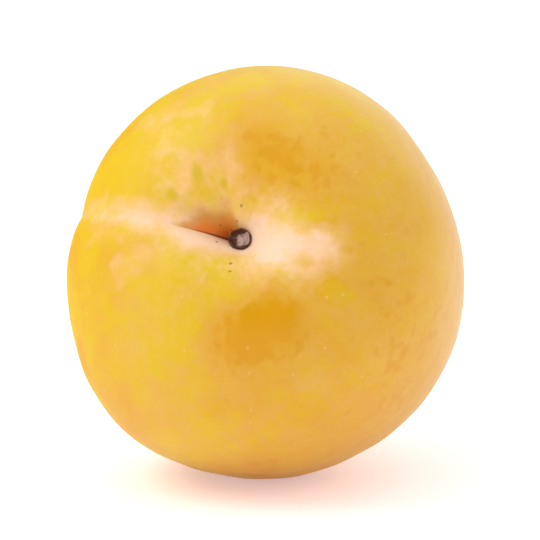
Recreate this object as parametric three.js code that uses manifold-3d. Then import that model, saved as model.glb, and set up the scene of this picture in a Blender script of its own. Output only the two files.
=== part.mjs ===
// A yellow plum, as picked: a fruit with a deep stem cavity, a suture groove that runs from the cavity
// down one side to a small beak at the blossom end, and the broken end of its stalk still in the cavity.
//
// Millimetres, +Z up. The fruit lies on one cheek, on a small flat spot in the plane z = 0. The origin is
// in that plane, under the middle of the bounding box. The stem end faces -Y and is tipped up, and the
// suture comes down the -X side.
//
// The fruit is worked out in a frame of its own: z runs from the blossom end to the stem end, x points to
// the suture and y to the cheek that it lies on. A point of the skin has two angles: `polar`, from 0 at
// the stem to PI at the beak, and `turn`, round the axis from the suture.
import * as THREE from "three";
import { mergeVertices } from "three/addons/utils/BufferGeometryUtils.js";
import Module from "manifold-3d";

// Body
const CHEEK_RADIUS = 23; // half the width across the two cheeks
const SUTURE_SQUEEZE = 0.98; // width from the suture to the back, as a share of the width across the cheeks
const STEM_HALF = 22.2; // from the widest part up to the shoulders
const BLOSSOM_HALF = 25.4; // from the widest part down to the blossom end, without the beak
const SHOULDER_POWER = 2.6; // 2 is a round end, and more is a squarer one
const BLOSSOM_POWER = 2.02;
const BEAK_HEIGHT = 1.8;
const BEAK_SPREAD = 0.19; // polar angle over which the beak dies away
const BEAK_LEAN = 1.4; // how far the beak leans towards the suture
const LOBE_FULLNESS = 0.008; // swelling beside the suture, as a share of the radius
const BACK_FLATNESS = 0.014; // flattening on both sides of the back, as a share of the radius
const BACK_FLAT_COSINE = -0.7; // cosine of the turn at which it is flattest
const BACK_FLAT_SPREAD = 0.3;
const FLANK_FULLNESS = 0.052; // swelling between the suture and the lower cheek, as a share of the radius
const FLANK_TURN = 1.02; // angle round the axis from the suture to the middle of the swelling
const FLANK_SPREAD = 0.09;
const LUMP_SIZE = 0.012; // unevenness of the growth, as a share of the radius
const LUMP_TURN = 2.4; // places the lumps round the axis

// Stem cavity
const CAVITY_DEPTH = 4.0;
const CAVITY_FLOOR = 1.4; // distance from the axis out to which its floor is flat
const CAVITY_REACH_SUTURE = 5.8; // reaches are from the edge of the floor
const CAVITY_REACH_BACK = 4.8;
const CAVITY_REACH_STEEP = 2.7; // on the crease's steep side
const CAVITY_REACH_GENTLE = 4.1;
const CAVITY_POWER = 1.5; // below 2, the cavity is a funnel rather than a bowl

// Suture: a crease in a wide shallow valley
const CREASE_DEPTH_AT_STEM = 2.2;
const CREASE_DEPTH_ALONG = 0.3;
const CREASE_FADE = 8.5; // distance from the stem over which the deep part fades
const CREASE_STEEP_SIDE = 0.75;
const CREASE_GENTLE_SIDE = 2.6;
const CREASE_POWER = 1.4;
const CREASE_WAVER = 0.35; // how far it strays from a straight line
const CREASE_WAVELENGTH = 28;
const VALLEY_DEPTH = 1.0;
const VALLEY_STEEP_SIDE = 3.2;
const VALLEY_GENTLE_SIDE = 6.5;
const VALLEY_FADE = 20; // distance from the stem over which it gets shallower
const VALLEY_FAR = 0.3; // depth far from the stem, as a share of the depth at the stem
const SUTURE_START = 0; // x at which it starts, under the stalk
const SUTURE_FULL = 3.5; // x at which it has its full depth
const SUTURE_FADE = 0.35; // polar angle before the beak at which it starts to fade
const SUTURE_END = 0.08; // polar angle before the beak at which it has gone

// Swellings on both sides of the suture near the stem
const SWELLINGS = [
  { x: 5.0, y: 4.4, reach: 3.8, height: 0.45 },
  { x: 7.5, y: -8.5, reach: 5.5, height: 0.35 },
];

// Stalk end
const STALK_RADIUS = 1.35;
const STALK_OUT = 0.5; // above the floor of the cavity
const STALK_IN = 0.8; // in its socket
const STALK_EDGE = 0.2; // bevel round its broken end
const STALK_RIM = 0.7; // from its side to the bottom of the cup
const STALK_CUP = 0.35; // depth of the cup in its broken end
const STALK_GAP = 0.3; // clear space between the stalk and its socket

// How it lies
const STEM_TILT = THREE.MathUtils.degToRad(22); // stem axis above the horizontal
const SUTURE_ROLL = THREE.MathUtils.degToRad(10); // suture above the horizontal
const FLAT_SPOT_DEPTH = 0.35; // how far the underside is pressed flat

// Mesh
const STEPS_AROUND = 72;
const STEPS_DOWN = 42;
const SUTURE_CROWDING = 0.72; // 0 spaces the steps evenly, and near 1 crowds them at the suture
const STEM_CROWDING = 1.3; // 1 spaces the steps evenly, and more crowds them at the stem
const STALK_SIDES = 20;
const CUTTER = 80; // longer than the fruit

const { sin, cos, abs, exp, hypot, max, PI } = Math;
const smoothstep = THREE.MathUtils.smoothstep;

const wasm = await Module();
wasm.setup();

// The skin before the cavity and the suture: a superellipse turned round the axis, squarer at the stem end.
function bodyPoint(polar, turn) {
  const towardsBlossom = (1 - cos(polar)) / 2;
  const power = THREE.MathUtils.lerp(SHOULDER_POWER, BLOSSOM_POWER, towardsBlossom);
  const half = THREE.MathUtils.lerp(STEM_HALF, BLOSSOM_HALF, towardsBlossom);
  const reach = (sin(polar) ** power + abs(cos(polar)) ** power) ** (-1 / power);
  const beak = exp(-(((PI - polar) / BEAK_SPREAD) ** 2));
  const lobes = LOBE_FULLNESS * sin(2 * turn) * sin(turn);
  const lumps = LUMP_SIZE * sin(2 * turn - 3 * polar + LUMP_TURN);
  const flats = BACK_FLATNESS * exp(-(((cos(turn) - BACK_FLAT_COSINE) / BACK_FLAT_SPREAD) ** 2));
  const flank = FLANK_FULLNESS * exp((cos(turn - FLANK_TURN) - 1) / FLANK_SPREAD) * sin(polar);
  const swelling = (lobes + lumps - flats + flank) * sin(polar);
  const radius = CHEEK_RADIUS * reach * sin(polar) * (1 + swelling);
  const lean = BEAK_LEAN * towardsBlossom ** 4;
  return new THREE.Vector3(
    radius * cos(turn) * SUTURE_SQUEEZE + lean,
    radius * sin(turn),
    half * reach * cos(polar) - BEAK_HEIGHT * beak,
  );
}

// 1 round the stem, falling to 0 at the widest part.
function stemSide(point) {
  return smoothstep(point.z, 0, STEM_HALF / 2);
}

// How deep the stem cavity is at a point of the body: a funnel with a flat floor and an oval mouth.
function cavityDepth(point) {
  const beyondFloor = 1 - CAVITY_FLOOR / max(hypot(point.x, point.y), CAVITY_FLOOR);
  const along = point.x * beyondFloor / (point.x > 0 ? CAVITY_REACH_SUTURE : CAVITY_REACH_BACK);
  const across = point.y * beyondFloor / (point.y > 0 ? CAVITY_REACH_STEEP : CAVITY_REACH_GENTLE);
  return CAVITY_DEPTH * exp(-(hypot(along, across) ** CAVITY_POWER)) * stemSide(point);
}

// How high the swellings beside the suture are at a point of the body.
function swellingHeight(point) {
  let total = 0;
  for (const { x, y, reach, height } of SWELLINGS) {
    total += height * exp(-((hypot(point.x - x, point.y - y) / reach) ** 2));
  }
  return total * stemSide(point);
}

// How deep the suture is at a point of the body: a crease with one steep side, which wavers, in a valley.
function sutureDepth(point, polar) {
  const fromStem = polar * CHEEK_RADIUS;
  const straying = smoothstep(fromStem, 0, CREASE_WAVELENGTH / 2);
  const across = point.y - CREASE_WAVER * straying * sin(2 * PI * fromStem / CREASE_WAVELENGTH);
  const width = across > 0 ? CREASE_STEEP_SIDE : CREASE_GENTLE_SIDE;
  const nearStem = exp(-((fromStem / CREASE_FADE) ** 2));
  const depth = THREE.MathUtils.lerp(CREASE_DEPTH_ALONG, CREASE_DEPTH_AT_STEM, nearStem);
  const crease = depth * exp(-((abs(across) / width) ** CREASE_POWER));
  const valleyWidth = across > 0 ? VALLEY_STEEP_SIDE : VALLEY_GENTLE_SIDE;
  const valleyFade = THREE.MathUtils.lerp(VALLEY_FAR, 1, exp(-((fromStem / VALLEY_FADE) ** 2)));
  const valley = VALLEY_DEPTH * valleyFade * exp(-((across / valleyWidth) ** 2));
  const pastStalk = smoothstep(point.x, SUTURE_START, SUTURE_FULL);
  const beforeBeak = 1 - smoothstep(polar, PI - SUTURE_FADE, PI - SUTURE_END);
  return pastStalk * beforeBeak * (crease + valley);
}

// A point of the finished skin. The cavity and the suture push it inwards, towards a point on the axis
// at half its own height, and the swellings push it outwards.
function skinPoint(polar, turn) {
  const point = bodyPoint(polar, turn);
  const inwards = new THREE.Vector3(0, 0, point.z / 2).sub(point).normalize();
  const depth = cavityDepth(point) + sutureDepth(point, polar) - swellingHeight(point);
  return point.addScaledVector(inwards, depth);
}

// A closed solid of a geometry, with its shared vertices merged.
function solidOf(geometry) {
  const bare = geometry.clone();
  bare.deleteAttribute("normal");
  bare.deleteAttribute("uv");
  const merged = mergeVertices(bare, 1e-4);
  const vertProperties = merged.attributes.position.array;
  const triVerts = new Uint32Array(merged.index.array);
  return new wasm.Manifold(new wasm.Mesh({ numProp: 3, vertProperties, triVerts }));
}

function geometryOf(solid) {
  const { vertProperties, triVerts } = solid.getMesh();
  const geometry = new THREE.BufferGeometry();
  geometry.setAttribute("position", new THREE.BufferAttribute(vertProperties, 3));
  geometry.setIndex(new THREE.BufferAttribute(triVerts, 1));
  geometry.computeVertexNormals();
  return geometry;
}

// A sphere's grid, moved onto the skin. Its steps crowd towards the suture and the stem.
function wholeFruit() {
  const geometry = new THREE.SphereGeometry(1, STEPS_AROUND, STEPS_DOWN);
  const { position, uv } = geometry.attributes;
  for (let i = 0; i < position.count; i++) {
    const around = 2 * PI * Math.round(uv.getX(i) * STEPS_AROUND) / STEPS_AROUND;
    const turn = around - SUTURE_CROWDING * sin(around);
    const polar = PI * (1 - uv.getY(i)) ** STEM_CROWDING;
    const point = skinPoint(polar, turn);
    position.setXYZ(i, point.x, point.y, point.z);
  }
  return geometry;
}

// A cylinder round the stem axis, from one height to another.
function stemCylinder(radius, bottom, top) {
  const geometry = new THREE.CylinderGeometry(radius, radius, top - bottom, STALK_SIDES);
  return geometry.rotateX(PI / 2).translate(0, 0, (bottom + top) / 2);
}

// The broken end of the stalk: a short post with a bevelled edge and a shallow cup in its end.
function stalkGeometry(floor) {
  const bottom = floor - STALK_IN;
  const top = floor + STALK_OUT;
  const profile = [
    new THREE.Vector2(0, bottom),
    new THREE.Vector2(STALK_RADIUS, bottom),
    new THREE.Vector2(STALK_RADIUS, top - STALK_EDGE),
    new THREE.Vector2(STALK_RADIUS - STALK_EDGE, top),
    new THREE.Vector2(STALK_RADIUS - STALK_RIM / 2, top),
    new THREE.Vector2(STALK_RADIUS - STALK_RIM, top - STALK_CUP),
    new THREE.Vector2(0, top - STALK_CUP),
  ];
  return new THREE.LatheGeometry(profile, STALK_SIDES).rotateX(PI / 2);
}

// Turns the fruit's own frame into the way it lies.
function lyingPose() {
  const stem = new THREE.Vector3(0, -cos(STEM_TILT), sin(STEM_TILT));
  const above = new THREE.Vector3(0, sin(STEM_TILT), cos(STEM_TILT));
  const suture = new THREE.Vector3(-cos(SUTURE_ROLL), 0, 0).addScaledVector(above, sin(SUTURE_ROLL));
  const cheek = new THREE.Vector3().crossVectors(stem, suture);
  const turned = new THREE.Matrix4().makeBasis(suture, cheek, stem);
  return new THREE.Quaternion().setFromRotationMatrix(turned);
}

const fruitWhole = wholeFruit();
const pose = lyingPose();
const lying = fruitWhole.clone().applyQuaternion(pose);
lying.computeBoundingBox();
const middle = lying.boundingBox.getCenter(new THREE.Vector3());

const plum = new THREE.Group();
plum.quaternion.copy(pose);
plum.position.set(-middle.x, -middle.y, -lying.boundingBox.min.z - FLAT_SPOT_DEPTH);
plum.updateMatrix();

// The floor under the fruit, in the fruit's own frame, cuts the flat spot.
const floor = new THREE.BoxGeometry(CUTTER, CUTTER, CUTTER).translate(0, 0, -CUTTER / 2);
floor.applyMatrix4(plum.matrix.clone().invert());

const cavityFloor = skinPoint(0, 0).z;
const socketBottom = cavityFloor - STALK_IN - STALK_GAP;
const socket = stemCylinder(STALK_RADIUS + STALK_GAP, socketBottom, cavityFloor + CAVITY_DEPTH);
const fruitSolid = solidOf(fruitWhole).subtract(solidOf(floor)).subtract(solidOf(socket));

const skin = new THREE.MeshStandardMaterial({ color: 0xe8a818, roughness: 0.4, metalness: 0 });
const bark = new THREE.MeshStandardMaterial({ color: 0x6b4a32, roughness: 0.85, metalness: 0 });

const fruit = new THREE.Mesh(geometryOf(fruitSolid), skin);
fruit.name = "fruit";

const stalkEnd = new THREE.Mesh(stalkGeometry(cavityFloor), bark);
stalkEnd.name = "stalk_end";

plum.add(fruit, stalkEnd);

export default plum;
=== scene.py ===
"""A yellow plum, as picked, lying on one cheek on a pale floor.

The fruit is worked out in a frame of its own, in metres: z runs from the blossom end to the stem end,
x points to the suture and y to the cheek that it lies on. A point of the skin has two angles: polar,
from 0 at the stem to pi at the beak, and turn, round the axis from the suture.
"""

import math

import bpy
import numpy as np
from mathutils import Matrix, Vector


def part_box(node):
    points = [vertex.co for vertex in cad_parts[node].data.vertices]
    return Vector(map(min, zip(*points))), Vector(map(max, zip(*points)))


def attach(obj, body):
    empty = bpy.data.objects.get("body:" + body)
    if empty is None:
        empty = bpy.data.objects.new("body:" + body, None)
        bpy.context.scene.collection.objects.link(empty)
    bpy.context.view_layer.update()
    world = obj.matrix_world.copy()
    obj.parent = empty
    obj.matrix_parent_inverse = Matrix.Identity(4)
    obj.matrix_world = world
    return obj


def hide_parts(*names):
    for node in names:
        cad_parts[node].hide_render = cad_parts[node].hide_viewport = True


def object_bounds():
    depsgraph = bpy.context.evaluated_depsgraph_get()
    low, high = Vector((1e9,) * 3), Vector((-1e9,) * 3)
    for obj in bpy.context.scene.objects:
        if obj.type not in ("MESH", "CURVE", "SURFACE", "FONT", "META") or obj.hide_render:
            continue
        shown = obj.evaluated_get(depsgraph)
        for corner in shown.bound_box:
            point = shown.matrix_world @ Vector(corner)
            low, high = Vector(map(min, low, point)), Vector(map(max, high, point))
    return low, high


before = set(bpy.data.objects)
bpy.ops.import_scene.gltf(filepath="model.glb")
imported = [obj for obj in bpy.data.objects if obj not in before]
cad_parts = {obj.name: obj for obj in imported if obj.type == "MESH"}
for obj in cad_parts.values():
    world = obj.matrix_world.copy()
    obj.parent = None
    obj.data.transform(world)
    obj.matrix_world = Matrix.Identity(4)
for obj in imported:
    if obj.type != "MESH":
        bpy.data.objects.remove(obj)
CAD_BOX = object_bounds()

bl_info = {
    "name": "Yellow Plum",
    "version": (1, 0, 0),
    "blender": (4, 5, 0),
    "location": "3D View > Sidebar > Plum",
    "description": "Makes a yellow plum with its stem cavity, suture, beak and stalk end",
    "category": "Add Mesh",
}

MM = 0.001

# Skin grid
STEPS_AROUND = 400
STEPS_DOWN = 240
SUTURE_CROWDING = 0.62  # 0 spaces the steps evenly, and near 1 crowds them at the suture
STEM_CROWDING = 1.3  # 1 spaces the steps evenly, and more crowds them at the stem

# Body
BEAK_SPREAD = 0.19  # polar angle over which the beak dies away
LOBE_FULLNESS = 0.008  # swelling beside the suture, as a share of the radius
BACK_FLATNESS = 0.014  # flattening on both sides of the back, as a share of the radius
BACK_FLAT_COSINE = -0.7  # cosine of the turn at which it is flattest
BACK_FLAT_SPREAD = 0.3  # in the same cosine
FLANK_FULLNESS = 0.052  # swelling between the suture and the lower cheek, as a share of the radius
FLANK_TURN = 1.02  # turn at the middle of that swelling
FLANK_SPREAD = 0.09  # a small number makes it narrow
LUMP_SIZE = 0.012  # unevenness of the growth, as a share of the radius
LUMP_TURN = 2.4

# Stem cavity
CAVITY_FLOOR = 1.4 * MM  # distance from the axis out to which the floor is flat
CAVITY_REACH_SUTURE = 5.8 * MM
CAVITY_REACH_BACK = 4.8 * MM
CAVITY_REACH_STEEP = 2.7 * MM
CAVITY_REACH_GENTLE = 4.1 * MM
CAVITY_POWER = 1.5  # below 2, the cavity is a funnel rather than a bowl

# Suture
CREASE_FADE = 8.5 * MM
CREASE_STEEP_SIDE = 0.75 * MM
CREASE_GENTLE_SIDE = 2.6 * MM
CREASE_POWER = 1.4
CREASE_WAVER = 0.35 * MM
CREASE_WAVELENGTH = 28 * MM
VALLEY_STEEP_SIDE = 3.2 * MM
VALLEY_GENTLE_SIDE = 6.5 * MM
VALLEY_FADE = 20 * MM
VALLEY_FAR = 0.3  # depth of the valley far from the stem, as a share of its depth at the stem
SUTURE_START = 0.0 * MM
SUTURE_FULL = 3.5 * MM
SUTURE_FADE = 0.35  # polar angle before the beak at which the suture begins to fade
SUTURE_END = 0.08  # and the angle at which it ends

# Painted light in the crease: a wedge of painted shade and orange painted bounce light on its gentle side,
# and a dark band of painted shade in its bottom
WEDGE_START = -0.6 * MM
WEDGE_FULL = 2.6 * MM
WEDGE_LENGTH = 10.5 * MM
WEDGE_WIDTH = 4.6 * MM
WEDGE_ON_LIP = 0.22 * MM
LINE_WIDTH = 0.45 * MM
THINNEST = 0.01 * MM  # keeps the widths above 0

# Shaded hollow beside the wedge: its middle and its reach, in x and y
HOLLOW_MIDDLE = (3.2 * MM, -1.7 * MM)
HOLLOW_REACH = (5.0 * MM, 1.7 * MM)

# Pale wax on the skin
WAX_REACH_SUTURE = 11 * MM
WAX_REACH_BACK = 11 * MM
WAX_WIDTH_ABOVE = 5.2 * MM
WAX_WIDTH_BELOW = 4.0 * MM
WAX_BAND_WIDTH = 2.2 * MM
WAX_BAND_STRENGTH = 0.7
WAX_BAND_FADE = 0.9  # polar angle over which the band fades
WAX_BAND_FAR = 0.4  # its strength far from the stem, as a share of its strength at the stem

# Fainter pale patches near the stem: x, y, reach and strength of each. Most are wax; the others are marked.
WAX_AND_HIGHLIGHT_PATCHES = (
    # These two make the lower lobe paler beside the suture
    (10.7 * MM, 5.1 * MM, 3.4 * MM, 0.36),
    (14.5 * MM, 1.0 * MM, 4.0 * MM, 0.38),
    (3.4 * MM, -6.1 * MM, 3.6 * MM, 0.46),
    (8.0 * MM, -4.6 * MM, 3.4 * MM, 0.42),
    # Painted highlight on the upper shoulder
    (10.5 * MM, -9.1 * MM, 4.0 * MM, 0.32),
    (-5.0 * MM, -2.7 * MM, 3.0 * MM, 0.60),
    (-9.2 * MM, -0.3 * MM, 3.2 * MM, 0.85),
    (-7.4 * MM, 2.2 * MM, 2.8 * MM, 0.62),
    # These two are painted highlight on the upper shoulder too
    (7.4 * MM, -12.3 * MM, 3.0 * MM, 0.36),
    (12.0 * MM, -11.0 * MM, 3.0 * MM, 0.34),
)

# Round unripe spots near the stem: x, y and radius of each
UNRIPE_SPOTS = (
    (6.1 * MM, -6.0 * MM, 0.75 * MM),
    (9.0 * MM, -3.2 * MM, 0.7 * MM),
    (3.0 * MM, -5.8 * MM, 0.5 * MM),
)

# Brown flecks near the stem: x, y and radius of each
FLECKS = (
    (-0.2 * MM, 3.7 * MM, 0.22 * MM),
    (-0.5 * MM, 4.5 * MM, 0.16 * MM),
    (3.6 * MM, 1.2 * MM, 0.2 * MM),
    (0.5 * MM, -4.1 * MM, 0.2 * MM),
    (2.3 * MM, -1.6 * MM, 0.15 * MM),
    (4.1 * MM, -1.7 * MM, 0.14 * MM),
    (1.1 * MM, -2.6 * MM, 0.13 * MM),
)

# Ripeness halfway between the suture and the back, and what it loses or gains towards each
RIPENESS_MIDDLE = 0.42
RIPENESS_SWING = 0.3

# Riper patches: the polar angle, the turn and the reach of each in degrees, and its strength. The first
# four are painted shade.
RIPE_AND_SHADED_PATCHES = (
    # Painted shade: deeper orange beside the stalk, above and below it, where the skin faces the camera and
    # reflects little light
    (25, -93, 9, 0.74),
    (26, -125, 8, 0.66),
    (28, 105, 8, 0.68),
    (28, 129, 9, 0.66),
    (72, -150, 13, 0.38),
    (82, 98, 12, 0.42),
    (97, -75, 15, 0.36),
    (110, 168, 17, 0.36),
    (118, 40, 13, 0.42),
    (142, -30, 16, 0.34),
    (150, 120, 12, 0.40),
)

# Swellings on both sides of the suture near the stem: x, y, reach and height of each
LOBES = (
    (5.0 * MM, 4.4 * MM, 3.8 * MM, 0.45 * MM),
    (7.5 * MM, -8.5 * MM, 5.5 * MM, 0.35 * MM),
)

# Fine unevenness of the skin: waves in all directions
WAVE_COUNT = 24
WAVE_LENGTHS = (3.5 * MM, 11 * MM)
WAVE_HEIGHT = 0.035 * MM

# Dark scar round the stalk, and the dot at the blossom end: where each begins to fade, and where it ends
SCAR_EDGE = (1.2 * MM, 1.42 * MM)
TIP_EDGE = (0.25 * MM, 0.8 * MM)
TIP_STRENGTH = 0.7

# Fibres of the skin run from the stem to the beak, and are stretched so many times that way
FIBRE_STRETCH = 6

# Underside
FLAT_SPOT_DEPTH = 0.35 * MM
FLAT_SPOT_EDGE = 0.12 * MM

# Stalk end
STALK_STEPS_AROUND = 120
STALK_STEPS_ALONG = 90
STALK_OVALNESS = 0.9  # width across the suture as a share of the width along it
STALK_RAGGEDNESS = 0.07  # as a share of the radius
RIM_RAGGEDNESS = 0.07 * MM

# Stage
LAMP_DISTANCE = 0.6
LAMPS = {  # where each stands, as shares of right, up and back, and its width and height
    "key": ((-0.62, 0.68, 0.35), (0.36, 0.36)),
    "rim": ((-0.62, 0.66, -0.25), (0.15, 0.5)),
    "side": ((-0.85, 0.1, 0.5), (0.15, 0.15)),
    "far": ((0.7, 0.7, -0.65), (0.45, 0.45)),
}
OPENING_COSINES = (0.7, 0.95)  # of the angle from the camera, where the tent's opening begins and is full
TINT_COSINES = (0.35, 0.85)  # of the angle from the middle of the golden part, where it begins and is full
TINT_BEHIND = 0.8  # how far behind the middle of the golden part is, as a share of how far left
PAPER_BRIGHTNESS = 1.1
FLOOR_HALF = 4.0


# Sizes and colours ---------------------------------------------------------------------------------


def number(name, description, default, low=0.0, unit="NONE"):
    return bpy.props.FloatProperty(
        name=name, description=description, default=default, min=low, unit=unit
    )


def length(name, description, default):
    return bpy.props.FloatProperty(
        name=name, description=description, default=default, min=0, unit="LENGTH", subtype="DISTANCE"
    )


def angle(name, description, degrees):
    return bpy.props.FloatProperty(
        name=name,
        description=description,
        default=math.radians(degrees),
        unit="ROTATION",
        subtype="ANGLE",
    )


def share(name, description, default):
    return bpy.props.FloatProperty(
        name=name, description=description, default=default, min=0, max=1, subtype="FACTOR"
    )


def colour(name, description, default):
    return bpy.props.FloatVectorProperty(
        name=name, description=description, default=default, size=3, min=0, max=1, subtype="COLOR"
    )


class PlumSizes(bpy.types.PropertyGroup):
    """Sizes of the fruit and how it lies."""

    cheek_radius: length("Cheek radius", "Half the width across the two cheeks", 23 * MM)
    suture_squeeze: share("Suture squeeze", "Width at the suture, as a share of the cheeks' width", 0.98)
    stem_half: length("Stem half", "From the widest part up to the shoulders", 22.2 * MM)
    blossom_half: length("Blossom half", "From the widest part down to the blossom end", 25.4 * MM)
    shoulder_power: number("Shoulder power", "2 is a round stem end, more a squarer one", 2.6, low=1.5)
    blossom_power: number("Blossom power", "2 is a round blossom end, more a squarer one", 2.02, low=1.5)
    beak_height: length("Beak height", "How far the beak stands out", 1.8 * MM)
    beak_lean: length("Beak lean", "How far the beak leans towards the suture", 1.4 * MM)
    cavity_depth: length("Cavity depth", "Depth of the stem cavity", 4.0 * MM)
    crease_at_stem: length("Crease at stem", "Depth of the suture's crease beside the stalk", 2.2 * MM)
    crease_along: length("Crease along", "Depth of the suture's crease down the side", 0.3 * MM)
    valley_depth: length("Valley depth", "Depth of the shallow valley that the crease lies in", 1.0 * MM)
    stem_tilt: angle("Stem tilt", "Angle of the stem axis above the horizontal", 22)
    suture_roll: angle("Suture roll", "Angle of the suture above the horizontal", 10)


class StalkSizes(bpy.types.PropertyGroup):
    """Sizes of the broken end of the stalk."""

    radius: length("Radius", "Half the width of the stalk", 1.25 * MM)
    stands_out: length("Stands out", "Height above the floor of the cavity", 0.5 * MM)
    goes_in: length("Goes in", "Depth below the floor of the cavity", 1.6 * MM)
    cup: length("Cup", "Depth of the cup in the broken end", 0.4 * MM)


class PlumColours(bpy.types.PropertyGroup):
    """Colours of the skin and of the dry stalk."""

    gold: colour("Gold", "Ripe skin", (0.72, 0.385, 0.004))
    lemon: colour("Lemon", "Less ripe skin, on the suture side", (0.74, 0.50, 0.002))
    # Also deepens the patches beside the stalk, above and below it, which are painted shade
    orange: colour("Orange", "Ripest patches", (0.70, 0.345, 0.001))
    bloom: colour("Bloom", "Thin film on most of the skin", (0.92, 0.66, 0.36))
    # These two are the real waxy skin, and also painted highlight on the upper shoulder
    wax: colour("Wax", "Pale waxy skin in the cavity and the valley", (0.92, 0.60, 0.31))
    pale: colour("Pale", "The palest wax, beside the stalk", (0.95, 0.67, 0.50))
    green: colour("Green", "Unripe spots", (0.67, 0.46, 0.012))
    # Painted shade: the colour of the shaded upper wall of the cavity, on its gentle side
    hollow_shade_colour: colour("Olive", "Gentle side of the cavity", (0.58, 0.31, 0.045))
    # Painted shade on the slope above the crease
    tan: colour("Tan", "Slope above the crease", (0.66, 0.28, 0.03))
    # Painted bounce light: orange standing in for light bounced between the crease's walls and passing
    # through the skin
    crease: colour("Crease", "Bottom of the crease", (0.82, 0.21, 0.018))
    # Real colour of the flecks, and painted shade along the bottom of the crease
    fleck_and_crease_shade_brown: colour("Brown", "Line along the bottom of the crease, and flecks", (0.22, 0.05, 0.008))
    # Real colour of the dry rim, and painted shadow in the cup
    bark_and_cup_shadow: colour("Bark", "Dry rim of the stalk end", (0.10, 0.030, 0.012))
    pith: colour("Pith", "Pale middle of the stalk end", (0.50, 0.33, 0.29))


class StageSettings(bpy.types.PropertyGroup):
    """Camera and lights."""

    azimuth: angle("Azimuth", "How far round to the right the camera stands", 10.8)
    elevation: angle("Elevation", "How far the camera looks down", 10)
    lens: number("Lens", "Focal length", 200, low=1, unit="CAMERA")
    fill: share("Fill", "Share of the picture's width that the fruit takes", 0.72)
    tent: number("Tent", "Brightness of the white tent", 1.10)
    opening: number("Opening", "Brightness of the tent's opening, round the camera", 0.15)
    side_tint: colour("Side tint", "Colour of the tent behind on the left", (0.28, 0.16, 0.02))
    key_power: number("Key light", "Power of the lamp at the upper left", 1.1, unit="POWER")
    rim_power: number("Rim light", "Power of the lamp behind at the upper left", 0.27, unit="POWER")
    side_power: number("Side light", "Power of the lamp at the left", 0.1, unit="POWER")
    far_power: number("Far light", "Power of the lamp behind on the right", 0.12, unit="POWER")


# Shape of the skin ---------------------------------------------------------------------------------


def smooth_rise(value, low, high):
    """0 below low, 1 above high, and 3ss - 2sss between, where s runs from 0 to 1."""
    s = np.clip((value - low) / (high - low), 0, 1)
    return s * s * (3 - 2 * s)


def blend(low, high, amount):
    return low + (high - low) * amount


def body_points(polar, turn, sizes):
    """The skin before the cavity and the suture: a superellipse turned round the axis.

    Its power falls from the shoulders to the blossom end, and its half length grows. The radius is
    swollen on both sides of the suture and at one flank, flatter on both sides of the back, and uneven by
    a low wave. The beak is a bell curve added at the blossom end, which leans towards the suture.
    """
    towards_blossom = (1 - np.cos(polar)) / 2
    power = blend(sizes.shoulder_power, sizes.blossom_power, towards_blossom)
    half = blend(sizes.stem_half, sizes.blossom_half, towards_blossom)
    reach = (np.sin(polar) ** power + np.abs(np.cos(polar)) ** power) ** (-1 / power)
    lobes = LOBE_FULLNESS * np.sin(2 * turn) * np.sin(turn)
    lumps = LUMP_SIZE * np.sin(2 * turn - 3 * polar + LUMP_TURN)
    flats = BACK_FLATNESS * np.exp(-(((np.cos(turn) - BACK_FLAT_COSINE) / BACK_FLAT_SPREAD) ** 2))
    flank = FLANK_FULLNESS * np.exp((np.cos(turn - FLANK_TURN) - 1) / FLANK_SPREAD) * np.sin(polar)
    swelling = (lobes + lumps - flats + flank) * np.sin(polar)
    radius = sizes.cheek_radius * reach * np.sin(polar) * (1 + swelling)
    beak = np.exp(-(((np.pi - polar) / BEAK_SPREAD) ** 2))
    x = radius * np.cos(turn) * sizes.suture_squeeze + sizes.beak_lean * towards_blossom**4
    y = radius * np.sin(turn)
    z = half * reach * np.cos(polar) - sizes.beak_height * beak
    return np.stack([x, y, z], axis=-1)


def cavity_shape(points, sizes):
    """1 on a flat floor round the stalk, falling to 0 at the shoulders: an oval funnel, exp(-q^power)."""
    from_axis = np.hypot(points[..., 0], points[..., 1])
    beyond_floor = np.clip(1 - CAVITY_FLOOR / np.maximum(from_axis, CAVITY_FLOOR), 0, 1)
    x = points[..., 0] * beyond_floor
    y = points[..., 1] * beyond_floor
    along = x / np.where(x > 0, CAVITY_REACH_SUTURE, CAVITY_REACH_BACK)
    across = y / np.where(y > 0, CAVITY_REACH_STEEP, CAVITY_REACH_GENTLE)
    on_stem_side = smooth_rise(points[..., 2], 0, sizes.stem_half / 2)
    return np.exp(-(np.hypot(along, across) ** CAVITY_POWER)) * on_stem_side


def lobe_heights(points, sizes):
    """The sum of bell curves round the middles of the lobes."""
    on_stem_side = smooth_rise(points[..., 2], 0, sizes.stem_half / 2)
    heights = 0
    for x, y, reach, height in LOBES:
        distance = np.hypot(points[..., 0] - x, points[..., 1] - y)
        heights = heights + height * np.exp(-((distance / reach) ** 2))
    return heights * on_stem_side


def across_suture(points, polar, sizes):
    """Signed distance across the crease, which strays from a straight line as a sine wave."""
    from_stem = polar * sizes.cheek_radius
    straying = smooth_rise(from_stem, 0, CREASE_WAVELENGTH / 2)
    return points[..., 1] - CREASE_WAVER * straying * np.sin(2 * np.pi * from_stem / CREASE_WAVELENGTH)


def suture_reach(points, polar):
    """1 along the suture, and 0 on the other side of the stalk and at the beak."""
    past_stalk = smooth_rise(points[..., 0], SUTURE_START, SUTURE_FULL)
    before_beak = 1 - smooth_rise(polar, np.pi - SUTURE_FADE, np.pi - SUTURE_END)
    return past_stalk * before_beak


def crease_shape(points, polar, sizes):
    """exp(-d^power) of the distance across, on a narrow scale on the steep side and a wide one opposite."""
    across = across_suture(points, polar, sizes)
    width = np.where(across > 0, CREASE_STEEP_SIDE, CREASE_GENTLE_SIDE)
    return np.exp(-((np.abs(across) / width) ** CREASE_POWER)) * suture_reach(points, polar)


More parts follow.
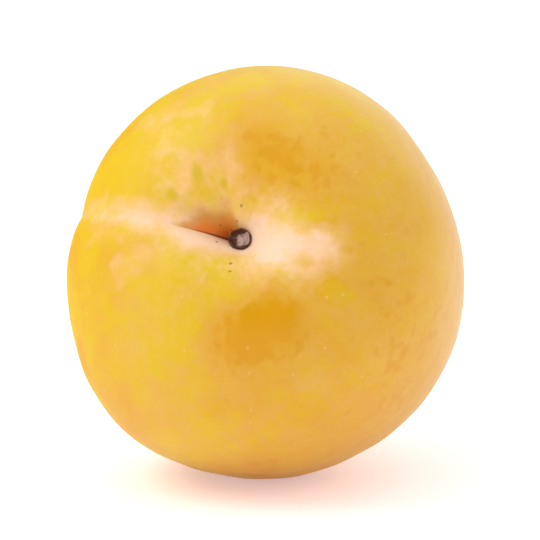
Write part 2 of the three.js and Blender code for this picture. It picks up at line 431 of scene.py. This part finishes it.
def valley_shape(points, polar, sizes):
    """A bell curve across the suture, narrower on the steep side, and shallower far from the stem."""
    across = across_suture(points, polar, sizes)
    width = np.where(across > 0, VALLEY_STEEP_SIDE, VALLEY_GENTLE_SIDE)
    depth = blend(VALLEY_FAR, 1, np.exp(-((polar * sizes.cheek_radius / VALLEY_FADE) ** 2)))
    return np.exp(-((across / width) ** 2)) * suture_reach(points, polar) * depth


def wax_and_highlight_mask(points, polar, sizes):
    """Pale skin: a waxy pointed oval round the stalk, a waxy band along the suture, and pale patches, three
    of which are painted highlight on the upper shoulder.

    The oval and the band are bell curves across. The width of the oval falls with the distance along, and
    it is wider on the gentle side. The band is fainter. Each patch is a bell curve round its middle.
    """
    across = across_suture(points, polar, sizes)
    x = points[..., 0]
    along = np.where(x > 0, x / WAX_REACH_SUTURE, -x / WAX_REACH_BACK)
    oval_width = np.where(across < 0, WAX_WIDTH_ABOVE, WAX_WIDTH_BELOW)
    width = blend(WAX_BAND_WIDTH, oval_width, np.exp(-(along**2)))
    on_stem_side = smooth_rise(points[..., 2], 0, sizes.stem_half / 2)
    oval = np.exp(-((across / width) ** 2)) * np.exp(-(along**4)) * on_stem_side
    fade = blend(WAX_BAND_FAR, 1, np.exp(-((polar / WAX_BAND_FADE) ** 4)))
    strength = WAX_BAND_STRENGTH * fade
    band = strength * np.exp(-((across / WAX_BAND_WIDTH) ** 2)) * suture_reach(points, polar)
    value = np.maximum(oval, band)
    for patch_x, patch_y, reach, patch_strength in WAX_AND_HIGHLIGHT_PATCHES:
        distance = np.hypot(x - patch_x, points[..., 1] - patch_y)
        value = np.maximum(value, patch_strength * np.exp(-((distance / reach) ** 2)) * on_stem_side)
    return value


def wedge_masks(points, polar, sizes):
    """Painted shade and orange painted bounce light on the gentle side of the crease, and a band of painted
    shade in its bottom, both narrower from the stalk on.

    Both are bell curves across, and the wedge's width falls evenly with the distance along.
    """
    across = across_suture(points, polar, sizes)
    x = points[..., 0]
    taper = np.clip(1 - x / WEDGE_LENGTH, 0.02, 1) * smooth_rise(x, WEDGE_START, WEDGE_FULL)
    width = np.where(across > 0, WEDGE_ON_LIP, WEDGE_WIDTH) * taper + THINNEST
    line_width = np.where(across > 0, WEDGE_ON_LIP, LINE_WIDTH) * np.sqrt(taper) + THINNEST
    on_stem_side = smooth_rise(points[..., 2], 0, sizes.stem_half / 2)
    wedge = np.exp(-((np.abs(across) / width) ** 2)) * smooth_rise(taper, 0.02, 0.5) * on_stem_side
    line = np.exp(-((np.abs(across) / line_width) ** 2)) * smooth_rise(taper, 0.05, 0.6) * on_stem_side
    return wedge, line


def hollow_shade(points):
    """Painted shade: a bell curve on the gentle side of the cavity, beside the wedge, where the cavity's
    upper wall is in shade.
    """
    along = (points[..., 0] - HOLLOW_MIDDLE[0]) / HOLLOW_REACH[0]
    across = (points[..., 1] - HOLLOW_MIDDLE[1]) / HOLLOW_REACH[1]
    return np.exp(-(along**2) - across**2) * (points[..., 2] > 0)


def ripeness(polar, turn):
    """Low on the suture side and higher on the other, plus exp(-a^3) of the angle from each riper patch;
    the four beside the stalk are painted shade.
    """
    value = RIPENESS_MIDDLE - RIPENESS_SWING * np.cos(turn) * np.sin(polar)
    for *angles, strength in RIPE_AND_SHADED_PATCHES:
        patch_polar, patch_turn, reach = np.radians(angles)
        turned = np.sin(polar) * np.sin(patch_polar) * np.cos(turn - patch_turn)
        apart = np.arccos(np.clip(np.cos(polar) * np.cos(patch_polar) + turned, -1, 1))
        value = value + strength * np.exp(-((apart / reach) ** 3))
    return value


def unripe_spots(points):
    """The greatest of exp(-d^4) of the distance from each spot: 1 within and 0 outside, with soft edges."""
    value = np.zeros(points.shape[:-1])
    for x, y, reach in UNRIPE_SPOTS:
        distance = np.hypot(points[..., 0] - x, points[..., 1] - y)
        value = np.maximum(value, np.exp(-((distance / reach) ** 4)))
    return value * (points[..., 2] > 0)


def scar_mask(own):
    """1 round the stalk and 0 outside, with a soft edge, and a fainter dot at the blossom end."""
    x, y = own[..., 0], own[..., 1]
    scar = 1 - smooth_rise(np.hypot(x, y / STALK_OVALNESS), *SCAR_EDGE)
    tip = TIP_STRENGTH * (1 - smooth_rise(np.hypot(x, y), *TIP_EDGE))
    return np.where(own[..., 2] > 0, scar, tip)


def near_stem(polar, sizes):
    """A bell curve of the distance from the stalk, in which the crease is deep."""
    return np.exp(-((polar * sizes.cheek_radius / CREASE_FADE) ** 2))


def wave_heights(points):
    """The sum of sine waves in random directions, whose lengths lie between two limits."""
    random = np.random.default_rng(7)
    directions = random.normal(size=(WAVE_COUNT, 3))
    directions /= np.linalg.norm(directions, axis=1, keepdims=True)
    lengths = random.uniform(*WAVE_LENGTHS, size=WAVE_COUNT)
    phases = random.uniform(0, 2 * np.pi, size=WAVE_COUNT)
    angles = points @ (directions / lengths[:, None]).T * 2 * np.pi + phases
    return WAVE_HEIGHT * np.sin(angles).sum(axis=-1) / math.sqrt(WAVE_COUNT)


def skin_points(polar, turn, sizes):
    """The body, pushed inwards by the cavity, the crease and the valley, and out by lobes and fine waves.

    Inwards is towards the point of the axis at half the point's own height.
    """
    points = body_points(polar, turn, sizes)
    inwards = points * (-1, -1, -0.5)
    inwards /= np.linalg.norm(inwards, axis=-1, keepdims=True)
    crease_depth = blend(sizes.crease_along, sizes.crease_at_stem, near_stem(polar, sizes))
    depth = (
        sizes.cavity_depth * cavity_shape(points, sizes)
        + crease_depth * crease_shape(points, polar, sizes)
        + sizes.valley_depth * valley_shape(points, polar, sizes)
        - lobe_heights(points, sizes)
        - wave_heights(points)
    )
    return points + inwards * depth[..., None]


def skin_angles():
    """The grid of polar and turn, with its steps crowded towards the stem and the suture."""
    polar = np.pi * np.linspace(0, 1, STEPS_DOWN + 1) ** STEM_CROWDING
    around = np.linspace(0, 2 * np.pi, STEPS_AROUND, endpoint=False)
    turn = around - SUTURE_CROWDING * np.sin(around)
    return np.meshgrid(polar, turn, indexing="ij")


def lying_axes(sizes):
    """The fruit's own x, y and z axes as rows, as it lies."""
    tilt = sizes.stem_tilt
    roll = sizes.suture_roll
    stem = np.array([0, -math.cos(tilt), math.sin(tilt)])
    above = np.array([0, math.sin(tilt), math.cos(tilt)])
    suture = np.array([-math.cos(roll), 0, 0]) + math.sin(roll) * above
    return np.array([suture, np.cross(stem, suture), stem])


def lying_place(sizes):
    """The fruit's own centre, as it lies: over the middle of the frame's origin, pressed into the floor."""
    polar, turn = skin_angles()
    turned = skin_points(polar, turn, sizes).reshape(-1, 3) @ lying_axes(sizes)
    low = turned.min(axis=0)
    middle = (low + turned.max(axis=0)) / 2
    low_corner, high_corner = (np.array(corner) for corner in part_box("fruit"))
    target = (low_corner + high_corner) / 2
    return np.array([target[0] - middle[0], target[1] - middle[1], -low[2] - FLAT_SPOT_DEPTH])


def fleck_places(sizes):
    """Each fleck's centre on the skin, as the fruit lies, with its radius."""
    places = []
    for x, y, radius in FLECKS:
        polar = np.full((1, 1), math.asin(math.hypot(x, y) / sizes.cheek_radius))
        turn = np.full((1, 1), math.atan2(y, x))
        own = skin_points(polar, turn, sizes)[0, 0]
        places.append((tuple(own @ lying_axes(sizes) + lying_place(sizes)), radius))
    return places


def pressed_flat(points):
    """Heights below the floor become 0, heights above its edge stay, and a parabola joins the two."""
    z = points[:, 2]
    joined = (z + FLAT_SPOT_EDGE) ** 2 / (4 * FLAT_SPOT_EDGE)
    flat = np.where(z > FLAT_SPOT_EDGE, z, np.where(z < -FLAT_SPOT_EDGE, 0, joined))
    return np.column_stack([points[:, :2], flat])


# Shape of the stalk end ----------------------------------------------------------------------------


def stalk_outline(along, stalk):
    """Radius and height along the outline: out of the cup, over the rim, and down to the bottom."""
    top = stalk.stands_out
    cup_floor = top - stalk.cup
    radii = np.array([0, 0.5, 0.74, 0.86, 0.94, 1.0, 1.04, 1.0, 0.0]) * stalk.radius
    heights = np.array([
        cup_floor + 0.08 * MM, cup_floor + 0.06 * MM, cup_floor, top - 0.04 * MM, top,
        top - 0.15 * MM, 0, -stalk.goes_in, -stalk.goes_in,
    ])
    steps = np.hypot(np.diff(radii), np.diff(heights))
    stations = np.concatenate([[0], np.cumsum(steps)]) / steps.sum()
    return np.interp(along, stations, radii), np.interp(along, stations, heights)


def stalk_points(along, around, stalk):
    """The outline turned round the axis, with its radius and rim uneven by a sum of three sine waves."""
    radius, height = stalk_outline(along, stalk)
    rim = np.exp(-(((radius / stalk.radius - 0.92) / 0.1) ** 2)) * (height > 0)
    ragged = 0.5 * np.sin(3 * around + 1) + 0.3 * np.sin(7 * around) + 0.2 * np.sin(13 * around + 2)
    radius = radius * (1 + STALK_RAGGEDNESS * ragged * (along < 0.9))
    height = height + rim * ragged * RIM_RAGGEDNESS
    return np.stack([radius * np.cos(around), STALK_OVALNESS * radius * np.sin(around), height], axis=-1)


def pith_mask(own, around, stalk):
    """1 in an uneven disc of pith off the middle, set towards the lit side as painted light, and 0 outside,
    less two bell curves: a wide patch of painted shadow in the cup, and a crack.
    """
    x, y = own[..., 0] / stalk.radius, own[..., 1] / stalk.radius
    edge = 0.58 + 0.07 * np.sin(2 * around + 0.5) + 0.05 * np.sin(5 * around)
    # The pale pith is real, and its place off the middle, towards the lit side of the cup, is painted light
    disc = 1 - smooth_rise(np.hypot(x + 0.22, y), edge - 0.1, edge + 0.14)
    # Painted shadow in the cup, on the suture side, in the colour of the bark
    cup_shadow = np.exp(-(((x - 0.45) / 0.44) ** 2) - ((y - 0.05) / 0.6) ** 2)
    crack = 0.35 * np.exp(-(((x + 0.35 + 0.5 * y) / 0.12) ** 2)) * smooth_rise(-np.abs(y), -0.5, -0.2)
    return disc * (1 - cup_shadow) * (1 - crack)


# Meshes --------------------------------------------------------------------------------------------


def grid_faces(rings, around):
    """Faces of a closed grid: a point, then rings of so many points, then a point, all facing outwards."""
    ring = np.arange(rings)[:, None] * around + 1
    here = np.arange(around)
    after = (here + 1) % around
    top = np.column_stack([np.zeros(around, int), 1 + here, 1 + after])
    quads = np.stack(
        [ring[:-1] + here, ring[1:] + here, ring[1:] + after, ring[:-1] + after], axis=-1
    ).reshape(-1, 4)
    last = rings * around + 1
    bottom = np.column_stack([np.full(around, last), ring[-1] + after, ring[-1] + here])
    return top.tolist() + quads.tolist() + bottom.tolist()


def closed(grid):
    """Flattens a grid whose first and last rows each stand for one point."""
    middle = grid[1:-1].reshape(-1, *grid.shape[2:])
    return np.concatenate([grid[:1, 0], middle, grid[-1:, 0]])


def mesh_piece(name, points, faces, attributes, material):
    """A smooth mesh object at the origin, with a number or a vector for each point in each attribute."""
    mesh = bpy.data.meshes.new(name)
    mesh.from_pydata(points.tolist(), [], faces)
    for label, values in attributes.items():
        is_vector = values.ndim == 2
        layer = mesh.attributes.new(label, "FLOAT_VECTOR" if is_vector else "FLOAT", "POINT")
        layer.data.foreach_set("vector" if is_vector else "value", values.astype(np.float32).ravel())
    mesh.shade_smooth()
    mesh.materials.append(material)
    mesh.validate()
    piece = bpy.data.objects.new(name, mesh)
    bpy.context.scene.collection.objects.link(piece)
    return piece


# Materials -----------------------------------------------------------------------------------------


class Nodes:
    """Adds nodes to a node tree and links them, with inputs given by name."""

    def __init__(self, tree):
        self.tree = tree
        self.tree.nodes.clear()

    def add(self, kind, inputs=None, **settings):
        node = self.tree.nodes.new(kind)
        for name, value in settings.items():
            setattr(node, name, value)
        for name, value in (inputs or {}).items():
            self.feed(node.inputs[name], value)
        return node

    def feed(self, socket, value):
        if isinstance(value, bpy.types.NodeSocket):
            self.tree.links.new(value, socket)
        elif isinstance(value, bpy.types.Node):
            self.tree.links.new(value.outputs[0], socket)
        elif socket.type == "RGBA" and len(value) == 3:
            socket.default_value = (*value, 1)
        else:
            socket.default_value = value

    def math(self, operation, *values):
        node = self.add("ShaderNodeMath", operation=operation)
        for socket, value in zip(node.inputs, values):
            self.feed(socket, value)
        return node.outputs[0]

    def uneven(self, value, pattern, amount):
        """The value raised and lowered by half the amount where the pattern is 1 and 0."""
        return self.math("ADD", value, self.math("MULTIPLY_ADD", pattern, amount, -amount / 2))

    def mix(self, amount, first, second):
        node = self.add("ShaderNodeMix", data_type="RGBA")
        self.feed(node.inputs["Factor"], amount)
        self.feed(node.inputs[6], first)
        self.feed(node.inputs[7], second)
        return node.outputs[2]

    def ramp(self, value, low, high, out_low=0.0, out_high=1.0):
        node = self.add("ShaderNodeMapRange", interpolation_type="SMOOTHSTEP")
        for socket, each in zip(node.inputs, (value, low, high, out_low, out_high)):
            self.feed(socket, each)
        return node.outputs[0]

    def attribute(self, name, output="Fac"):
        return self.add("ShaderNodeAttribute", attribute_name=name).outputs[output]

    def group(self, tree, **inputs):
        node = self.add("ShaderNodeGroup", node_tree=tree)
        for name, value in inputs.items():
            self.feed(node.inputs[name], value)
        return node.outputs[0]


def new_group(name, inputs, output):
    """A shader node group with a Vector input, number inputs with their defaults, and one output."""
    tree = bpy.data.node_groups.new(name, "ShaderNodeTree")
    tree.interface.new_socket("Vector", in_out="INPUT", socket_type="NodeSocketVector")
    for label, default in inputs.items():
        socket = tree.interface.new_socket(label, in_out="INPUT", socket_type="NodeSocketFloat")
        socket.default_value = default
    tree.interface.new_socket(output, in_out="OUTPUT", socket_type="NodeSocketFloat")
    nodes = Nodes(tree)
    start = nodes.add("NodeGroupInput")
    return tree, nodes, start.outputs


def blotches_group():
    """Soft patches: noise of a given size, with its middle cut out by a threshold and a softness."""
    tree, nodes, given = new_group("Blotches", {"Scale": 100.0, "Level": 0.5, "Softness": 0.1}, "Mask")
    noise = nodes.add(
        "ShaderNodeTexNoise", {"Vector": given["Vector"], "Scale": given["Scale"], "Detail": 3.0}
    )
    low = nodes.math("SUBTRACT", given["Level"], given["Softness"])
    high = nodes.math("ADD", given["Level"], given["Softness"])
    nodes.add("NodeGroupOutput", {"Mask": nodes.ramp(noise.outputs[0], low, high)})
    return tree


def specks_group():
    """Round specks: the middles of random cells, in only a share of the cells."""
    tree, nodes, given = new_group("Specks", {"Scale": 400.0, "Size": 0.2, "Share": 0.5}, "Mask")
    cells = nodes.add("ShaderNodeTexVoronoi", {"Vector": given["Vector"], "Scale": given["Scale"]})
    chance = nodes.add("ShaderNodeSeparateColor", {"Color": cells.outputs["Color"]})
    chosen = nodes.math("LESS_THAN", chance.outputs[0], given["Share"])
    edge = nodes.math("MULTIPLY", given["Size"], 0.4)
    spot = nodes.ramp(cells.outputs["Distance"], edge, given["Size"], 1.0, 0.0)
    nodes.add("NodeGroupOutput", {"Mask": nodes.math("MULTIPLY", spot, chosen)})
    return tree


def per_mm(length_mm):
    """The texture scale at which a pattern repeats about once in so many millimetres."""
    return 1 / (length_mm * MM)


def new_material(name):
    material = bpy.data.materials.new(name)
    material.use_nodes = True
    return material, Nodes(material.node_tree)


def finish_material(nodes, shader):
    nodes.add("ShaderNodeOutputMaterial", {"Surface": shader})


def skin_material(colours, flecks, blotches, specks):
    """Satin translucent skin: lemon to gold to orange, with pale wax and an orange crease at the stem;
    painted shade in the cavity, the crease and the patches beside the stalk, orange painted bounce light in
    the crease, and painted highlight on the upper shoulder.
    """
    material, nodes = new_material("plum_skin")
    place = nodes.add("ShaderNodeTexCoord").outputs["Object"]
    fibre = nodes.attribute("fibre", "Vector")
    riper_and_shaded = nodes.attribute("ripeness")
    wax = nodes.attribute("wax")
    wedge = nodes.attribute("wedge")
    line = nodes.attribute("line")
    hollow = nodes.attribute("hollow")
    spots = nodes.attribute("spots")
    scar = nodes.attribute("scar")

    def patches(size_mm, level, softness):
        return nodes.group(
            blotches, Vector=place, Scale=per_mm(size_mm), Level=level, Softness=softness
        )

    wide = patches(11, 0.5, 0.2)
    middling = patches(4.5, 0.52, 0.16)
    small = patches(1.6, 0.55, 0.16)
    fine = patches(0.55, 0.55, 0.2)
    streaks = nodes.group(blotches, Vector=fibre, Scale=9.0, Level=0.5, Softness=0.2)

    # Ripeness, with painted shade in the patches beside the stalk
    ripe = nodes.uneven(nodes.uneven(nodes.uneven(riper_and_shaded, wide, 0.42), middling, 0.16), small, 0.16)
    skin = nodes.mix(nodes.ramp(ripe, 0.15, 0.55), colours.lemon, colours.gold)
    skin = nodes.mix(nodes.math("MULTIPLY", middling, 0.28), skin, colours.orange)
    skin = nodes.mix(nodes.math("MULTIPLY", streaks, 0.36), skin, colours.lemon)
    # Deep orange without bloom where the skin is ripest; beside the stalk, above and below, it is painted
    # shade
    deep_orange_and_shade = nodes.uneven(nodes.uneven(ripe, small, 0.3), streaks, 0.16)
    deep_orange_and_shade = nodes.ramp(deep_orange_and_shade, 0.5, 1.2)
    skin = nodes.mix(deep_orange_and_shade, skin, colours.orange)
    bloom = nodes.math("MULTIPLY_ADD", small, 0.10, nodes.math("MULTIPLY_ADD", fine, 0.04, 0.01))
    bloom = nodes.math("MULTIPLY_ADD", middling, 0.09, bloom)
    bloom = nodes.math("MULTIPLY_ADD", nodes.ramp(riper_and_shaded, 0.35, 0.75), 0.02, bloom)
    bloom = nodes.math("MULTIPLY", bloom, nodes.math("SUBTRACT", 1.0, deep_orange_and_shade))
    bloom = nodes.math("MULTIPLY", bloom, nodes.ramp(riper_and_shaded, 0.17, 0.33))
    skin = nodes.mix(bloom, skin, colours.bloom)

    ragged = nodes.uneven(nodes.uneven(nodes.uneven(wax, middling, 0.2), small, 0.14), fine, 0.04)
    ragged = nodes.uneven(ragged, streaks, 0.08)
    # Waxy skin, and painted highlight where the patches on the upper shoulder lie
    waxy = nodes.ramp(ragged, 0.08, 0.8, 0.0, 0.92)
    paleness = nodes.ramp(ragged, 0.4, 0.9)
    skin = nodes.mix(waxy, skin, nodes.mix(paleness, colours.wax, colours.pale))

    pores = nodes.group(specks, Vector=place, Scale=per_mm(1.7), Size=0.13, Share=0.4)
    skin = nodes.mix(nodes.math("MULTIPLY", pores, 0.22), skin, colours.pale)

    # Painted shade on the gentle side of the cavity, where its upper wall is in shade
    shaded = nodes.uneven(hollow, small, 0.2)
    skin = nodes.mix(nodes.ramp(shaded, 0.1, 0.9, 0.0, 0.88), skin, colours.hollow_shade_colour)
    # Painted shade on the slope above the crease, and orange painted bounce light deeper in it
    crease_shading = nodes.uneven(wedge, small, 0.12)
    skin = nodes.mix(nodes.ramp(crease_shading, 0.05, 0.45, 0.0, 0.8), skin, colours.tan)
    skin = nodes.mix(nodes.ramp(crease_shading, 0.35, 0.85, 0.0, 0.95), skin, colours.crease)
    # Painted shade: a dark band along the bottom of the crease
    skin = nodes.mix(nodes.ramp(line, 0.3, 0.9, 0.0, 0.85), skin, colours.fleck_and_crease_shade_brown)

    skin = nodes.mix(nodes.math("MULTIPLY", spots, 0.9), skin, colours.green)
    jitter = nodes.add("ShaderNodeTexNoise", {"Vector": place, "Scale": per_mm(0.25), "Detail": 1.0})
    wander = nodes.math("MULTIPLY_ADD", jitter.outputs[0], 0.3 * MM, -0.15 * MM)
    for centre, radius in flecks:
        apart = nodes.add("ShaderNodeVectorMath", {0: place, 1: centre}, operation="DISTANCE")
        distance = nodes.math("ADD", apart.outputs["Value"], wander)
        fleck = nodes.ramp(distance, 0.5 * radius, 1.3 * radius, 0.6, 0.0)
        skin = nodes.mix(fleck, skin, colours.fleck_and_crease_shade_brown)
    skin = nodes.mix(scar, skin, colours.bark_and_cup_shadow)

    satin = nodes.math("MULTIPLY_ADD", bloom, 0.5, 0.29)
    roughness = nodes.math("MULTIPLY_ADD", waxy, 0.12, satin)
    roughness = nodes.math("ADD", roughness, nodes.ramp(riper_and_shaded, 0.15, 0.4, 0.4, 0.0))

    grain = nodes.add("ShaderNodeTexNoise", {"Vector": place, "Scale": per_mm(0.45), "Detail": 2.0})
    height = nodes.uneven(nodes.uneven(grain.outputs[0], pores, 0.6), middling, 1.2)
    bump = nodes.add("ShaderNodeBump", {"Height": height, "Strength": 0.5, "Distance": 0.03 * MM})

    shader = nodes.add(
        "ShaderNodeBsdfPrincipled",
        {
            "Base Color": skin,
            "Roughness": roughness,
            "Normal": bump,
            "IOR": 1.45,
            "Specular IOR Level": 0.35,
            "Subsurface Weight": 0.35,
            "Subsurface Radius": (1.0, 0.45, 0.08),
            "Subsurface Scale": 3 * MM,
        },
    )
    finish_material(nodes, shader)
    return material


def stalk_material(colours, blotches, specks):
    """Dry woody stalk: dark rim, pale middle, with mottling, specks and a fine grain."""
    material, nodes = new_material("dry_stalk")
    place = nodes.add("ShaderNodeTexCoord").outputs["Object"]
    pith = nodes.attribute("pith")
    mottle = nodes.group(blotches, Vector=place, Scale=per_mm(0.6), Level=0.5, Softness=0.12)
    dark_specks = nodes.group(specks, Vector=place, Scale=per_mm(0.35), Size=0.3, Share=0.5)
    ragged = nodes.uneven(pith, mottle, 0.6)
    # The pith mask also holds painted shadow in the cup
    woody = nodes.mix(nodes.ramp(ragged, 0.1, 0.95), colours.bark_and_cup_shadow, colours.pith)
    speckled = nodes.mix(nodes.math("MULTIPLY", dark_specks, 0.3), woody, colours.bark_and_cup_shadow)
    grain = nodes.add("ShaderNodeTexNoise", {"Vector": place, "Scale": per_mm(0.15), "Detail": 3.0})
    bump = nodes.add(
        "ShaderNodeBump", {"Height": grain.outputs[0], "Strength": 0.6, "Distance": 0.05 * MM}
    )
    roughness = nodes.ramp(mottle, 0.0, 1.0, 0.65, 0.85)
    shader = nodes.add(
        "ShaderNodeBsdfPrincipled",
        {"Base Color": speckled, "Roughness": roughness, "Normal": bump, "Specular IOR Level": 0.25},
    )
    finish_material(nodes, shader)
    return material


def floor_material():
    """Pale paper, which glows a little, and more towards the camera."""
    material, nodes = new_material("pale_floor")
    seen = nodes.add("ShaderNodeLightPath").outputs["Is Camera Ray"]
    shader = nodes.add(
        "ShaderNodeBsdfPrincipled",
        {
            "Base Color": (0.95, 0.90, 0.92),
            "Roughness": 0.7,
            "Emission Color": (1.0, 0.8, 0.88),
            "Emission Strength": nodes.math("MULTIPLY_ADD", seen, 0.24, 0.17),
        },
    )
    finish_material(nodes, shader)
    return material


# Operators -----------------------------------------------------------------------------------------


def shared_groups():
    """The Blotches and Specks groups, made once."""
    have = bpy.data.node_groups
    return have.get("Blotches") or blotches_group(), have.get("Specks") or specks_group()


class PLUM_OT_fruit(bpy.types.Operator):
    """Make the fruit: its skin, with the stem cavity, the suture and the beak"""

    bl_idname = "plum.fruit"
    bl_label = "Make Fruit"

    def execute(self, context):
        sizes = context.scene.plum_sizes
        polar, turn = skin_angles()
        own = skin_points(polar, turn, sizes)
        points = closed(own) @ lying_axes(sizes) + lying_place(sizes)
        body = body_points(polar, turn, sizes)
        wedge, line = wedge_masks(body, polar, sizes)
        attributes = {
            "ripeness": ripeness(polar, turn),
            "wax": wax_and_highlight_mask(body, polar, sizes),
            "wedge": wedge,
            "line": line,
            "hollow": hollow_shade(body),
            "spots": unripe_spots(body),
            "scar": scar_mask(own),
            "fibre": np.stack([np.cos(turn), np.sin(turn), polar / FIBRE_STRETCH], axis=-1),
        }
        flat_attributes = {name: closed(values) for name, values in attributes.items()}
        material = skin_material(context.scene.plum_colours, fleck_places(sizes), *shared_groups())
        faces = grid_faces(STEPS_DOWN - 1, STEPS_AROUND)
        fruit = mesh_piece("plum_fruit", pressed_flat(points), faces, flat_attributes, material)
        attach(fruit, "root")
        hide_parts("fruit")
        return {"FINISHED"}


class PLUM_OT_stalk_end(bpy.types.Operator):
    """Make the dry, broken end of the stalk in the cavity"""

    bl_idname = "plum.stalk_end"
    bl_label = "Make Stalk End"

    def execute(self, context):
        sizes = context.scene.plum_sizes
        stalk = context.scene.stalk_sizes
        along = np.linspace(0, 1, STALK_STEPS_ALONG + 1)
        around = np.linspace(0, 2 * np.pi, STALK_STEPS_AROUND, endpoint=False)
        along, around = np.meshgrid(along, around, indexing="ij")
        own = stalk_points(along, around, stalk)
        floor = skin_points(np.zeros((1, 1)), np.zeros((1, 1)), sizes)[0, 0]
        points = (closed(own) + floor) @ lying_axes(sizes) + lying_place(sizes)
        pith = pith_mask(own, around, stalk)
        material = stalk_material(context.scene.plum_colours, *shared_groups())
        faces = grid_faces(STALK_STEPS_ALONG - 1, STALK_STEPS_AROUND)
        piece = mesh_piece("plum_stalk_end", points, faces, {"pith": closed(pith)}, material)
        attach(piece, "root")
        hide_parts("stalk_end")
        return {"FINISHED"}


def camera_axes(settings):
    """The camera's right, up and back directions."""
    a, e = settings.azimuth, settings.elevation
    back = Vector((math.sin(a) * math.cos(e), -math.cos(a) * math.cos(e), math.sin(e)))
    right = Vector((math.cos(a), math.sin(a), 0))
    return right, back.cross(right), back


def add_camera(context, settings, centre, width):
    back = camera_axes(settings)[2]
    data = bpy.data.cameras.new("camera")
    data.lens = settings.lens
    data.clip_start = 0.01
    data.clip_end = 20
    camera = bpy.data.objects.new("camera", data)
    distance = width / settings.fill * settings.lens / data.sensor_width
    camera.location = centre + back * distance
    camera.rotation_euler = back.to_track_quat("Z", "Y").to_euler()
    context.scene.collection.objects.link(camera)
    context.scene.camera = camera


def add_area_light(context, name, place, target, size, power):
    data = bpy.data.lights.new(name, "AREA")
    data.shape = "ELLIPSE"
    data.size, data.size_y = size
    data.energy = power
    light = bpy.data.objects.new(name, data)
    light.location = place
    light.rotation_euler = (place - target).to_track_quat("Z", "Y").to_euler()
    context.scene.collection.objects.link(light)


def add_world(context, settings, back, left):
    """A white tent round the fruit, dim round the camera, and dim and golden behind on the left.

    The camera sees plain paper instead.
    """
    world = bpy.data.worlds.new("studio")
    world.use_nodes = True
    nodes = Nodes(world.node_tree)
    direction = nodes.add("ShaderNodeTexCoord").outputs["Generated"]
    facing = nodes.add("ShaderNodeVectorMath", {0: direction, 1: back}, operation="DOT_PRODUCT")
    front = nodes.ramp(facing.outputs["Value"], *OPENING_COSINES, 1.0, settings.opening)
    sideways = nodes.add("ShaderNodeVectorMath", {0: direction, 1: left}, operation="DOT_PRODUCT")
    beside = nodes.ramp(sideways.outputs["Value"], *TINT_COSINES)
    cloth = nodes.mix(beside, (1, 1, 1), settings.side_tint)
    brightness = nodes.math("MULTIPLY", front, settings.tent)
    tent = nodes.add("ShaderNodeBackground", {"Color": cloth, "Strength": brightness})
    paper = nodes.add("ShaderNodeBackground", {"Color": (1, 1, 1), "Strength": PAPER_BRIGHTNESS})
    seen = nodes.add("ShaderNodeLightPath").outputs["Is Camera Ray"]
    both = nodes.add("ShaderNodeMixShader", {0: seen, 1: tent, 2: paper})
    nodes.add("ShaderNodeOutputWorld", {"Surface": both})
    context.scene.world = world


def add_floor(context):
    corners = [(-1, -1, 0), (1, -1, 0), (1, 1, 0), (-1, 1, 0)]
    mesh = bpy.data.meshes.new("floor")
    mesh.from_pydata((np.array(corners) * FLOOR_HALF).tolist(), [], [(0, 1, 2, 3)])
    mesh.materials.append(floor_material())
    floor = bpy.data.objects.new("floor", mesh)
    context.scene.collection.objects.link(floor)


class PLUM_OT_stage(bpy.types.Operator):
    """Make the floor, the lights and the camera"""

    bl_idname = "plum.stage"
    bl_label = "Make Stage"

    def execute(self, context):
        settings = context.scene.plum_stage
        low, high = (Vector(corner) for corner in CAD_BOX)
        centre = (low + high) / 2
        right, up, back = camera_axes(settings)
        add_camera(context, settings, centre, high.x - low.x)
        for name, (place, size) in LAMPS.items():
            offset = right * place[0] + up * place[1] + back * place[2]
            power = getattr(settings, name + "_power")
            add_area_light(context, name, centre + offset * LAMP_DISTANCE, centre, size, power)
        add_world(context, settings, back, (-right - back * TINT_BEHIND).normalized())
        add_floor(context)
        context.scene.view_settings.view_transform = "Standard"
        return {"FINISHED"}


class PLUM_PT_panel(bpy.types.Panel):
    """Sizes, colours and buttons for the plum"""

    bl_label = "Plum"
    bl_idname = "PLUM_PT_panel"
    bl_space_type = "VIEW_3D"
    bl_region_type = "UI"
    bl_category = "Plum"

    def draw(self, context):
        for group in (context.scene.plum_sizes, context.scene.stalk_sizes, context.scene.plum_colours,
                      context.scene.plum_stage):
            box = self.layout.box()
            for name in group.__annotations__:
                box.prop(group, name)
        for operator in (PLUM_OT_fruit, PLUM_OT_stalk_end, PLUM_OT_stage):
            self.layout.operator(operator.bl_idname)


CLASSES = (
    PlumSizes,
    StalkSizes,
    PlumColours,
    StageSettings,
    PLUM_OT_fruit,
    PLUM_OT_stalk_end,
    PLUM_OT_stage,
    PLUM_PT_panel,
)
GROUPS = {
    "plum_sizes": PlumSizes,
    "stalk_sizes": StalkSizes,
    "plum_colours": PlumColours,
    "plum_stage": StageSettings,
}


def register():
    for each in CLASSES:
        bpy.utils.register_class(each)
    for name, group in GROUPS.items():
        setattr(bpy.types.Scene, name, bpy.props.PointerProperty(type=group))


def unregister():
    for name in GROUPS:
        delattr(bpy.types.Scene, name)
    for each in reversed(CLASSES):
        bpy.utils.unregister_class(each)


def main():
    register()
    bpy.ops.plum.stage()
    bpy.ops.plum.fruit()
    bpy.ops.plum.stalk_end()


if __name__ == "__main__":
    main()
